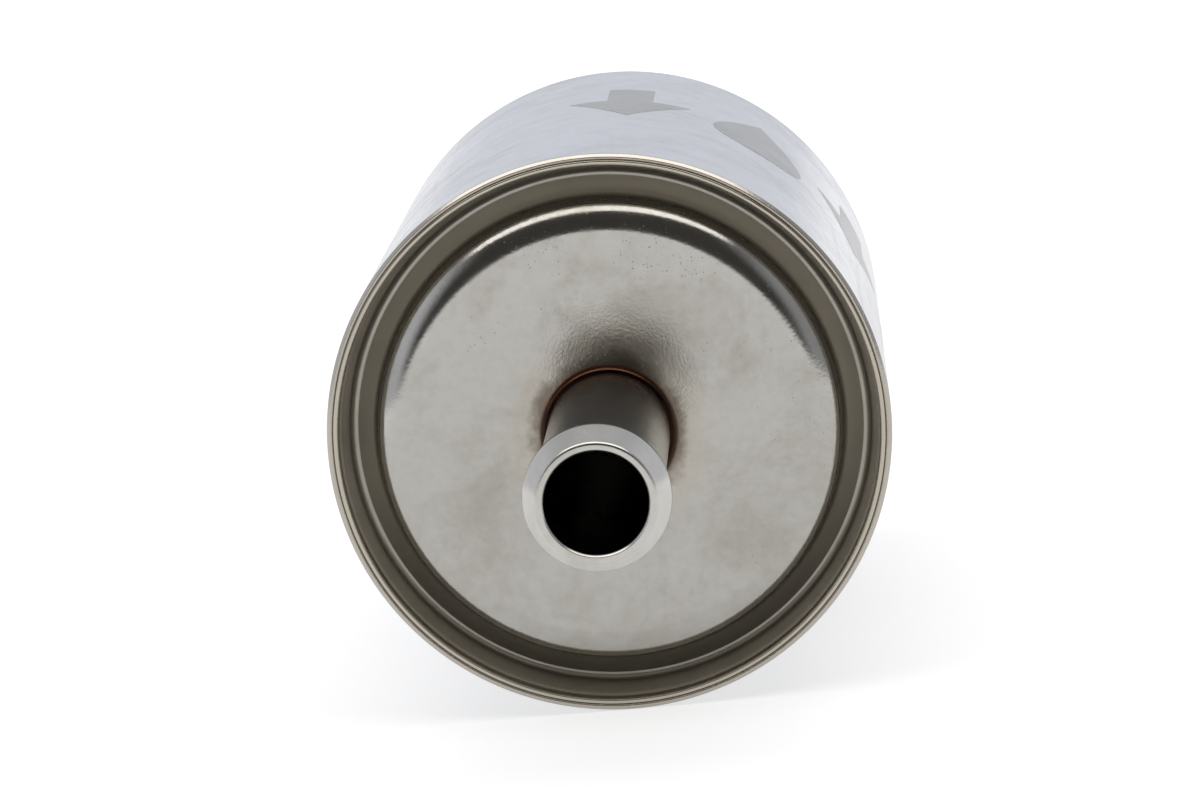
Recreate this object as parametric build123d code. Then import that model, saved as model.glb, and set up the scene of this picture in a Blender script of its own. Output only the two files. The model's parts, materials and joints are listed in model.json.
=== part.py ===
from build123d import *
from math import atan2, cos, degrees, hypot, pi, sin
import os

# Inline fuel filter: a drawn steel can with a pressed cover and two brazed hose nipples, holding a
# sprung paper cartridge. The can's axis is Y and the can lies on its side. The origin is on the
# axis, halfway along the can. The cover and the outlet face -Y, the inlet faces +Y. Millimetres.
# A "depth" is counted from the rim plane into the can, along +Y.

# ---- Can and cover ----
can_length = 51.0
can_radius = 18.5
can_sheet = 0.4
cover_sheet = 0.35
rim_edge_round = 0.24
lip_edge_round = 0.13
channel_width = 2.95
channel_depth = 3.4
channel_fall = 0.55
channel_land = 0.4
dome_recess = 0.4
dome_draft = 0.3
shoulder_reach = 0.84
shoulder_drop = 0.76
shoulder_round = 2.5
shoulder_edge_round = 0.45
channel_inner_round = 0.5
land_edge_round = 0.1
channel_outer_round = 0.4
skirt_straight = 1.0
skirt_slope = 0.65
skirt_bend = 1.5
sealant_length = 1.0
can_corner_round = 2.4
far_plateau_width = 5.5
far_plateau_rise = 0.6
far_plateau_round = 0.8

# ---- Nipples and their brazed holes ----
tube_radius = 4.0
tube_wall = 0.8
nipple_reach = 22.5
mouth_lip_drop = 0.25
mouth_edge_round = 0.25
mouth_chamfer = 0.15
bead_height = 0.6
bead_crest_start = 1.7
bead_crest_length = 0.6
bead_back_length = 0.7
bead_round = 0.45
hole_edge_round = 0.45
collar_length = 1.3
braze_gap = 0.08
braze_sink = 0.12
outlet_spigot_end = 9.0
inlet_spigot_reach = 2.0

# ---- Cartridge ----
flow_gap = 1.65
end_cap_sheet = 0.4
end_cap_skirt = 2.4
potting_depth = 1.2
core_space = 2.1
core_wall = 0.4
core_hole_radius = 1.0
core_holes_round = 8
core_hole_pitch = 3.6
strainer_wall = 0.3
strainer_gap = 0.1
paper_thickness = 0.35
pleat_count = 30
pleat_core_gap = 0.15
pleat_cap_gap = 0.45
clip_sheet = 0.2
clip_depth = 2.2
clip_gap = 0.05

# ---- Seal, plate, spring and spider ----
plate_sheet = 0.8
plate_hole_radius = 2.0
plate_hole_count = 6
plate_gap = 0.3
running_gap = 0.05
seal_flange = 0.8
seal_groove_wall = 1.0
seal_wall = 2.0
spring_length = 9.3
spring_wire = 1.0
spring_clearance = 1.1
spring_turns = 4.5
seat_sheet = 0.4
seat_rim = 1.2
seat_gap = 0.15
spider_sheet = 0.3
spider_finger_width = 4.0
spider_fingers = 4
spider_hub_wires = 2
spider_wall_gap = 0.15

# ---- Worked out from the sizes above ----
can_inner_radius = can_radius - can_sheet
collar_radius = tube_radius + braze_gap
dome_radius = can_inner_radius - channel_width
skirt_radius = can_inner_radius - cover_sheet
bore_radius = tube_radius - tube_wall
mouth_lip_radius = tube_radius - mouth_lip_drop
bead_radius = tube_radius + bead_height
far_plateau_radius = tube_radius + far_plateau_width
core_radius = tube_radius + core_space
seal_groove_radius = tube_radius + seal_groove_wall
seal_outer_radius = tube_radius + seal_wall
spring_radius = tube_radius + spring_clearance + spring_wire / 2
far_inside = can_length - can_sheet
channel_inside = channel_depth + cover_sheet
seal_front = channel_inside + plate_sheet
cap_front = seal_front + seal_flange
cap_inside = cap_front + end_cap_sheet
cap_radius = can_inner_radius - flow_gap
potting_radius = cap_radius - end_cap_sheet
media_start = cap_inside + potting_depth
seat_floor = far_inside - spring_length
seat_back = seat_floor - seat_sheet
spider_back = seat_back - spider_sheet
closed_cap_inside = spider_back - end_cap_sheet
media_end = closed_cap_inside - potting_depth
seal_back = cap_inside + seal_flange
strainer_radius = core_radius - core_wall - strainer_gap
cap_bend_round = end_cap_sheet * 1.5


def along(depth):
    """Place on the Y axis of a depth below the rim plane."""
    return depth - can_length / 2


def profile(points):
    """Closed flat profile through (radius, depth) corners."""
    return make_face(Polyline([(radius, along(depth)) for radius, depth in points], close=True))


def turned(face):
    """Solid of revolution about the can's axis."""
    return revolve(face, Axis.Y)


def ring(inner, outer, start, end):
    """Plain ring between two radii and two depths."""
    return turned(profile([(inner, start), (outer, start), (outer, end), (inner, end)]))


def sheet_profile(points, rounds, thickness, metal_side=Side.LEFT):
    """Profile of bent sheet: one face follows the points, and its metal lies to one side of them."""
    path = FilletPolyline([(radius, along(depth)) for radius, depth in points], radius=rounds)
    return make_face(offset(path, thickness, side=metal_side, closed=True))


def rounded(face, corners, radius):
    """Round the profile's corners that lie at the given (radius, depth) places."""
    for place in corners:
        spot = Vector(place[0], along(place[1]))
        corner = min(face.vertices(), key=lambda vertex: (Vector(vertex) - spot).length)
        face = fillet(corner, radius)
    return face


def about_axis(shape, angle):
    """Turn a shape about the can's axis."""
    return Rot(0, angle, 0) * shape


# ---- Can shell: drawn in one piece, with a raised middle and a hole turned inwards ----
def make_can_shell():
    outside = [
        (can_radius, 0),
        (can_radius, can_length - far_plateau_rise),
        (far_plateau_radius + far_plateau_rise, can_length - far_plateau_rise),
        (far_plateau_radius, can_length),
        (collar_radius, can_length),
        (collar_radius, can_length - collar_length),
    ]
    rounds = [can_corner_round, far_plateau_round, far_plateau_round, hole_edge_round]
    face = sheet_profile(outside, rounds, can_sheet)
    face = rounded(face, [(can_radius, 0)], rim_edge_round)
    return turned(rounded(face, [(can_inner_radius, 0)], lip_edge_round))


# ---- Outlet cover: flat dome with a soft shoulder, ring channel and a skirt flush with the can's edge ----
def make_outlet_cover():
    outside = [
        (collar_radius, dome_recess + collar_length),
        (collar_radius, dome_recess),
        (dome_radius - shoulder_reach, dome_recess),
        (dome_radius, dome_recess + shoulder_drop),
        (dome_radius + dome_draft, channel_depth - channel_fall),
        (skirt_radius - skirt_slope - channel_land, channel_depth),
        (skirt_radius - skirt_slope, channel_depth),
        (skirt_radius, skirt_straight),
        (skirt_radius, 0),
    ]
    channel_rounds = [channel_inner_round, land_edge_round, channel_outer_round, skirt_bend]
    rounds = [hole_edge_round, shoulder_round, shoulder_edge_round] + channel_rounds
    face = sheet_profile(outside, rounds, cover_sheet)
    return turned(rounded(face, [(skirt_radius, 0), (can_inner_radius, 0)], lip_edge_round))


# ---- Sealant: a bead pressed into the wedge where the skirt leaves the can ----
def make_rim_sealant_ring():
    bead_end = skirt_straight + sealant_length
    return ring(skirt_radius, can_inner_radius, skirt_straight / 2, bead_end) - outlet_cover


# ---- Nipple: a tube with a rolled bead behind its mouth, drawn with its mouth at depth 0 ----
def make_nipple(length):
    crest_end = bead_crest_start + bead_crest_length
    bead_end = crest_end + bead_back_length
    face = profile([
        (bore_radius + mouth_chamfer, 0),
        (mouth_lip_radius, 0),
        (bead_radius, bead_crest_start),
        (bead_radius, crest_end),
        (tube_radius, bead_end),
        (tube_radius, length),
        (bore_radius, length),
        (bore_radius, mouth_chamfer),
    ])
    face = rounded(face, [(mouth_lip_radius, 0)], mouth_edge_round)
    crest = [(bead_radius, bead_crest_start), (bead_radius, crest_end), (tube_radius, bead_end)]
    return turned(rounded(face, crest, bead_round))


def make_outlet_nipple():
    return Pos(0, -nipple_reach, 0) * make_nipple(nipple_reach + outlet_spigot_end)


def make_inlet_nipple():
    facing_out = Rot(180, 0, 0) * make_nipple(nipple_reach + can_sheet + inlet_spigot_reach)
    return Pos(0, nipple_reach, 0) * facing_out


# ---- Braze rings: metal drawn into the gap round each nipple, with a hollow face ----
def make_outlet_braze_ring():
    bend_end = dome_recess + hole_edge_round
    film = ring(tube_radius, collar_radius, bend_end, dome_recess + collar_length)
    face = ring(tube_radius, collar_radius + hole_edge_round, dome_recess + braze_sink, bend_end)
    bend = Pos(collar_radius + hole_edge_round, along(bend_end)) * Circle(hole_edge_round)
    return film + (face - turned(bend))


def make_inlet_braze_ring():
    at_rim_plane = Pos(0, -dome_recess, 0) * make_outlet_braze_ring()
    return Rot(180, 0, 0) * at_rim_plane


# ---- Support plate: lies behind the channel and carries the cartridge's seal ----
def make_support_plate():
    plate = ring(tube_radius + running_gap, can_inner_radius - plate_gap, channel_inside, seal_front)
    hole_circle = (seal_outer_radius + can_inner_radius - plate_gap) / 2
    drill = Pos(hole_circle, along((channel_inside + seal_front) / 2), 0) * (
        Rot(90, 0, 0) * Cylinder(plate_hole_radius, plate_sheet * 2))
    holes = [about_axis(drill, 360 * number / plate_hole_count) for number in range(plate_hole_count)]
    return plate - holes


# ---- Outlet seal: a grommet in the cap's hole, sliding on the nipple's inner end ----
def make_outlet_seal():
    bore = tube_radius + running_gap
    return turned(profile([
        (bore, seal_front),
        (seal_outer_radius, seal_front),
        (seal_outer_radius, cap_front),
        (seal_groove_radius, cap_front),
        (seal_groove_radius, cap_inside),
        (strainer_radius, cap_inside),
        (strainer_radius, seal_back),
        (bore, seal_back),
    ]))


# ---- Cartridge end caps: pressed cups, the outlet one open in its middle ----
def make_outlet_end_cap():
    outside = [
        (seal_groove_radius, cap_front),
        (cap_radius, cap_front),
        (cap_radius, cap_front + end_cap_skirt),
    ]
    return turned(sheet_profile(outside, [cap_bend_round], end_cap_sheet))


def make_inlet_end_cap():
    outside = [
        (cap_radius, spider_back - end_cap_skirt),
        (cap_radius, spider_back),
        (0, spider_back),
    ]
    return turned(sheet_profile(outside, [cap_bend_round], end_cap_sheet))


# ---- Potting: the adhesive that holds the pleats and the core tube in each cap ----
def make_potting(cap_face, open_face):
    face = profile([
        (core_radius, cap_face),
        (potting_radius, cap_face),
        (potting_radius, open_face),
        (core_radius, open_face),
    ])
    return turned(rounded(face, [(potting_radius, cap_face)], cap_bend_round - end_cap_sheet))


# ---- Filter paper: a star of flat pleats with round folds ----
def fold_point(radius, number):
    """Place of a fold, counted in half pleats round the axis, on a plane across it."""
    angle = pi * number / pleat_count
    return Vector(radius * cos(angle), radius * sin(angle))


def make_filter_media():
    inner = core_radius + pleat_core_gap + paper_thickness / 2
    outer = potting_radius - pleat_cap_gap - paper_thickness / 2
    star = Sketch()
    for number in range(2 * pleat_count):
        radii = (inner, outer) if number % 2 == 0 else (outer, inner)
        first = fold_point(radii[0], number)
        second = fold_point(radii[1], number + 1)
        centre = (first + second) / 2
        flank = second - first
        slot = SlotCenterToCenter(flank.length, paper_thickness, rotation=degrees(atan2(flank.Y, flank.X)))
        star += Pos(centre.X, centre.Y) * slot
    across = Plane(origin=(0, along(media_start), 0), x_dir=(1, 0, 0), z_dir=(0, 1, 0))
    return extrude(across * star, amount=media_end - media_start)


# ---- Clip: a folded strip over the outer fold where the paper's two ends meet ----
def make_pleat_seam_clip():
    fold = fold_point(potting_radius - pleat_cap_gap, 1)
    angle = degrees(atan2(fold.Y, fold.X))
    reach = hypot(fold.X, fold.Y)
    flank = fold - fold_point(core_radius + pleat_core_gap, 0)
    spread = abs(atan2(flank.Y, flank.X) - atan2(fold.Y, fold.X))
    half_gap = clip_depth * sin(spread) + paper_thickness / 2 + clip_gap
    length = media_end - media_start - 2 * end_cap_skirt
    outer = Box(clip_depth + clip_sheet, length, 2 * (half_gap + clip_sheet))
    inner = Pos(-clip_sheet, 0, 0) * Box(clip_depth + clip_sheet, length, 2 * half_gap)
    middle = along((media_start + media_end) / 2)
    clip = Pos(reach + (clip_sheet - clip_depth) / 2, middle, 0) * (outer - inner)
    return about_axis(clip, angle)


# ---- Core tube: perforated, it holds the pleats up against the pressure ----
def make_centre_tube():
    tube = ring(core_radius - core_wall, core_radius, cap_inside, closed_cap_inside)
    span = media_end - media_start
    rows = max(1, int(span / core_hole_pitch))
    first = along((media_start + media_end) / 2) - core_hole_pitch * (rows - 1) / 2
    drills = []
    for row in range(rows):
        for number in range(core_holes_round):
            turn = (number + (row % 2) / 2) * 360 / core_holes_round
            drill = Pos(core_radius - core_wall / 2, first + core_hole_pitch * row, 0) * (
                Rot(0, 90, 0) * Cylinder(core_hole_radius, core_wall * 4))
            drills.append(about_axis(drill, turn))
    return tube - drills


# ---- Strainer: a fine woven sleeve inside the core tube, modelled as a plain sleeve ----
def make_strainer_sleeve():
    return ring(strainer_radius - strainer_wall, strainer_radius, seal_back, closed_cap_inside)


# ---- Centring spider: a star plate whose bent fingers keep the cartridge off the can ----
def make_centring_spider():
    reach = can_inner_radius - spider_wall_gap
    middle = along(spider_back + spider_sheet / 2)
    hub = Pos(0, middle, 0) * (
        Rot(90, 0, 0) * Cylinder(spring_radius + spring_wire * spider_hub_wires, spider_sheet))
    arm = Pos(reach / 2, middle, 0) * Box(reach, spider_sheet, spider_finger_width)
    tip = Pos(reach - spider_sheet / 2, along(spider_back + end_cap_skirt / 2), 0) * (
        Box(spider_sheet, end_cap_skirt, spider_finger_width))
    for number in range(spider_fingers):
        hub += about_axis(arm + tip, 360 * number / spider_fingers)
    inside = Rot(90, 0, 0) * Cylinder(reach, can_length)
    return hub & inside


# ---- Spring seat: a cup spot-welded to the spider, which centres the spring ----
def make_spring_seat():
    rim = spring_radius + spring_wire / 2 + seat_gap + seat_sheet
    outside = [
        (rim, seat_floor + seat_rim),
        (rim, seat_back),
        (0, seat_back),
    ]
    return turned(sheet_profile(outside, [seat_sheet * 1.5], seat_sheet, Side.RIGHT))


# ---- Pressure spring: round wire with both ends ground flat ----
def make_pressure_spring():
    ground = spring_wire / 4
    height = spring_length - 2 * ground
    low = along(seat_floor) + ground
    path = Helix(height / spring_turns, height, spring_radius, center=(0, low, 0), direction=(0, 1, 0))
    wire = sweep(Plane(path @ 0, z_dir=path % 0) * Circle(spring_wire / 2), path, is_frenet=True)
    slab = ring(0, can_inner_radius, seat_floor, far_inside)
    return wire & slab


outlet_cover = make_outlet_cover()

nodes = {
    "can_shell": make_can_shell(),
    "outlet_cover": outlet_cover,
    "rim_sealant_ring": make_rim_sealant_ring(),
    "outlet_nipple": make_outlet_nipple(),
    "outlet_braze_ring": make_outlet_braze_ring(),
    "inlet_nipple": make_inlet_nipple(),
    "inlet_braze_ring": make_inlet_braze_ring(),
    "support_plate": make_support_plate(),
    "outlet_seal": make_outlet_seal(),
    "outlet_end_cap": make_outlet_end_cap(),
    "outlet_potting": make_potting(cap_inside, media_start),
    "filter_media": make_filter_media(),
    "pleat_seam_clip": make_pleat_seam_clip(),
    "centre_tube": make_centre_tube(),
    "strainer_sleeve": make_strainer_sleeve(),
    "inlet_potting": make_potting(closed_cap_inside, media_end),
    "inlet_end_cap": make_inlet_end_cap(),
    "centring_spider": make_centring_spider(),
    "spring_seat": make_spring_seat(),
    "pressure_spring": make_pressure_spring(),
}

os.makedirs("parts", exist_ok=True)
for name, shape in nodes.items():
    export_step(shape, f"parts/{name}.step")
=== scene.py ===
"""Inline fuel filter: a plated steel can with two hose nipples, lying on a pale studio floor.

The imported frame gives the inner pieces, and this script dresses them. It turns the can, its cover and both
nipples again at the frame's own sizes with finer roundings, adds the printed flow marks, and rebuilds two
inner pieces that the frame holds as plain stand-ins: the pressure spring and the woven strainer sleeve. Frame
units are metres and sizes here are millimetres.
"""

from __future__ import annotations

import json
import logging
import math
from dataclasses import dataclass, field
from enum import Enum
from functools import cache

import bmesh
import bpy
from mathutils import Matrix, Vector

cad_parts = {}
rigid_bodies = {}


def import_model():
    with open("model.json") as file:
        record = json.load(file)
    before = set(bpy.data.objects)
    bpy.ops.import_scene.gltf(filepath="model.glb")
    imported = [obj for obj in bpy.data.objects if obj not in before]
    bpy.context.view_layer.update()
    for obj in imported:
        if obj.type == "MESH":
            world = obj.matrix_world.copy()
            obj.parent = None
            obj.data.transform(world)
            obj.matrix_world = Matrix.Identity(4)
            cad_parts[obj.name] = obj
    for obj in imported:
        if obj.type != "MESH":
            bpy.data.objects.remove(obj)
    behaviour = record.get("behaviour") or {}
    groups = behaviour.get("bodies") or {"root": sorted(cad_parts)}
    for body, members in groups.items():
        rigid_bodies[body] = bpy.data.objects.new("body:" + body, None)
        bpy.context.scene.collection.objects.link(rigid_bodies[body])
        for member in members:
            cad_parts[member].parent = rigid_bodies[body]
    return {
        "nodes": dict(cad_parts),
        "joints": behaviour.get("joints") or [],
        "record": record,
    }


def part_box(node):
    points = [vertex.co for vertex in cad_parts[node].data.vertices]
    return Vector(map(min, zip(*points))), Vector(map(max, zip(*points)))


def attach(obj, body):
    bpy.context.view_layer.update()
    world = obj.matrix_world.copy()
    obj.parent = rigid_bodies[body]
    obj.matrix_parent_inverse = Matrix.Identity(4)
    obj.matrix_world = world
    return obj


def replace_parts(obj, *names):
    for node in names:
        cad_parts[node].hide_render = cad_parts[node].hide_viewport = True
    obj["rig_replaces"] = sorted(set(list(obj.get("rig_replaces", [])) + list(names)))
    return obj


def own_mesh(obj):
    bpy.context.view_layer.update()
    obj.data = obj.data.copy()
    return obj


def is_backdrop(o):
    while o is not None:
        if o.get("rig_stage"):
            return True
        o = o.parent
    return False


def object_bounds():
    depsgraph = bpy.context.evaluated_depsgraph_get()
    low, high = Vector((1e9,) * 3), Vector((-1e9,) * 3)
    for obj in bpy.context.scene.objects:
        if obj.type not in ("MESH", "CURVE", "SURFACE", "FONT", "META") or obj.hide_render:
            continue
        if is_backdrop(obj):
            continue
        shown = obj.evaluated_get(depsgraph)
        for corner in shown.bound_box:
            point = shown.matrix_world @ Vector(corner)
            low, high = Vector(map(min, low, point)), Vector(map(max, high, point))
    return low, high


LOG = logging.getLogger("fuel_filter")
MM = 0.001
Socket = bpy.types.NodeSocket
Place = tuple[float, float]
SENSOR_MM = 36.0
FLOOR_HALF = 3.0
DROP_STEPS = 48
ROUNDING_LIMIT = 0.87
MARKS_FROM_RIM_MM = 28.5
STRAINER_INNER_MM = 5.3


class Body(Enum):
    """The moving groups of the frame that a piece can ride on."""

    HOUSING = "housing"
    CARTRIDGE = "cartridge"


class Pattern(Enum):
    """How a metal surface was worked, which sets the way its fine lines run."""

    DRAWN = "lines along the can's axis, from the drawing die"
    TURNED = "lines round the axis, from the bead rolling and turning tools"
    PRESSED = "no lines, a pebbled skin from the press tool"


# ---- nodes ----
def linear(colour: str) -> tuple[float, float, float, float]:
    """Turn an sRGB hex colour into a linear one.

    Args:
        colour: Six hex digits after a hash sign.

    Returns:
        Red, green, blue and an alpha of one, all linear.
    """
    parts = [int(colour[place : place + 2], 16) / 255 for place in (1, 3, 5)]
    red, green, blue = (c / 12.92 if c <= 0.04045 else ((c + 0.055) / 1.055) ** 2.4 for c in parts)
    return red, green, blue, 1.0


def placed(name: str, data: bpy.types.ID) -> bpy.types.Object:
    """Make an object of some data and put it in the scene."""
    thing = bpy.data.objects.new(name, data)
    bpy.context.scene.collection.objects.link(thing)
    return thing


class Nodes:
    """A node tree with the few steps that materials, the room and repeated pieces all need."""

    tree: bpy.types.NodeTree

    def node(self, kind: str, inputs: dict | None = None, **settings: object) -> bpy.types.Node:
        """Add one node with its settings, values and links.

        Args:
            kind: The node's type name.
            inputs: Socket name or number to a value or to an output socket to link from.
            **settings: The node's own properties.

        Returns:
            The new node.
        """
        node = self.tree.nodes.new(kind)
        for name, value in settings.items():
            setattr(node, name, value)
        for key, value in (inputs or {}).items():
            if isinstance(value, Socket):
                self.tree.links.new(value, node.inputs[key])
            else:
                node.inputs[key].default_value = value
        return node

    def sum(self, operation: str, *values: object) -> Socket:
        """Work out one arithmetic step on numbers, fields or sockets."""
        return self.node("ShaderNodeMath", dict(enumerate(values)), operation=operation).outputs[0]

    def vector(self, operation: str, first: object, second: object) -> Socket:
        """Work out one step on two vectors."""
        out = "Value" if operation == "DOT_PRODUCT" else "Vector"
        return self.node("ShaderNodeVectorMath", {0: first, 1: second}, operation=operation).outputs[out]

    def length(self, value: object) -> Socket:
        """Measure a vector."""
        return self.node("ShaderNodeVectorMath", {0: value}, operation="LENGTH").outputs["Value"]

    def remap(self, value: object, low: float, high: float, first: float = 0.0, last: float = 1.0) -> Socket:
        """Stretch a value from the range low..high to first..last, eased and held at both ends."""
        inputs = {"Value": value, "From Min": low, "From Max": high, "To Min": first, "To Max": last}
        return self.node("ShaderNodeMapRange", inputs, interpolation_type="SMOOTHSTEP").outputs["Result"]

    def mix(self, share: object, first: object, second: object) -> Socket:
        """Mix two colours by a share from 0 to 1."""
        return self.node("ShaderNodeMix", {0: share, 6: first, 7: second}, data_type="RGBA").outputs[2]


@dataclass
class Shader(Nodes):
    """A material's node tree, which reads Object coordinates.

    Args:
        name: The material's name.
    """

    name: str
    material: bpy.types.Material = field(init=False)
    tree: bpy.types.NodeTree = field(init=False)
    place: Socket = field(init=False)

    def __post_init__(self) -> None:
        """Start an empty tree that reads Object coordinates."""
        self.material = bpy.data.materials.new(self.name)
        self.material.use_nodes = True
        self.tree = self.material.node_tree
        self.tree.nodes.clear()
        self.place = self.node("ShaderNodeTexCoord").outputs["Object"]

    def noise(self, vector: object, grain_mm: float, detail: float = 3.0, rough: float = 0.55,
              warp: float = 0.0) -> Socket:
        """Noise whose blobs are about the given size across."""
        inputs = {"Vector": vector, "Scale": 1.0 / (grain_mm * MM), "Detail": detail, "Roughness": rough,
                  "Distortion": warp}
        return self.node("ShaderNodeTexNoise", inputs).outputs["Fac"]

    def over(self, mask: object, strength: object, colour: object, tint: str) -> Socket:
        """Lay a tint over a colour where a mask is, at a share of its full strength."""
        return self.mix(self.sum("MULTIPLY", mask, strength), colour, linear(tint))

    def round_axis(self) -> tuple[Socket, Socket, Socket]:
        """Split the place into radius, angle and distance along the can's axis.

        Returns:
            The radius in metres, the angle from the top in radians and the distance along Y in metres.
        """
        split = self.node("ShaderNodeSeparateXYZ", {0: self.place})
        flat = self.node("ShaderNodeCombineXYZ", {"X": split.outputs["X"], "Y": split.outputs["Z"]})
        radius = self.length(flat.outputs[0])
        angle = self.sum("ARCTAN2", split.outputs["X"], split.outputs["Z"])
        return radius, angle, split.outputs["Y"]

    def finish(self, bsdf: bpy.types.Node) -> bpy.types.Material:
        """Join the shader to the output and hand the material back."""
        self.node("ShaderNodeOutputMaterial", {"Surface": bsdf.outputs[0]})
        return self.material


# ---- finishes ----
@dataclass(frozen=True)
class HeatTint:
    """The copper, brown and straw colours that brazing leaves round a hole, from the hole outwards.

    Args:
        hole_mm: Radius of the hole's turned edge, where the copper flash ends.
        brown_end_mm: Radius where the brown has faded.
        straw_end_mm: Radius where the last straw colour has faded.
    """

    hole_mm: float
    brown_end_mm: float
    straw_end_mm: float

    def over(self, shade: Shader, colour: Socket, radius: Socket, angle: Socket) -> Socket:
        """Lay the tints over a plating.

        Args:
            shade: The material being built.
            colour: The plating's colour.
            radius: Distance from the axis.
            angle: Angle from the top, round the axis.

        Returns:
            The tinted colour.
        """
        uneven = shade.sum("MULTIPLY_ADD", shade.noise(shade.place, 2.4, 4.0, 0.65), 2.4 * MM, -1.2 * MM)
        warmed = shade.sum("ADD", radius, uneven)
        flank = shade.sum("ABSOLUTE", shade.sum("SINE", angle))
        strength = shade.sum("MULTIPLY_ADD", flank, 0.3, 0.5)
        straw = shade.remap(warmed, self.brown_end_mm * MM, self.straw_end_mm * MM, 0.22, 0.0)
        colour = shade.mix(straw, colour, linear("#A3957D"))
        brown = shade.remap(warmed, self.hole_mm * MM, self.brown_end_mm * MM, 1.0, 0.0)
        colour = shade.over(brown, strength, colour, "#5C5045")
        burnt = shade.remap(radius, (self.hole_mm - 0.3) * MM, (self.hole_mm + 0.12) * MM, 0.85, 0.0)
        colour = shade.mix(burnt, colour, linear("#2B211B"))
        # The copper flash at the hole's edge is real colour, but it is made stronger towards the top as a
        # painted highlight.
        edge = shade.remap(radius, (self.hole_mm - 0.1) * MM, (self.hole_mm + 0.15) * MM, 1.0, 0.0)
        ragged_top_highlight = shade.sum("ADD", shade.sum("COSINE", angle), shade.noise(shade.place, 0.8, 3.0, 0.6))
        top = shade.remap(ragged_top_highlight, 0.7, 1.6, 0.05, 0.65)
        return shade.over(edge, top, colour, "#8A5B42")


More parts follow.
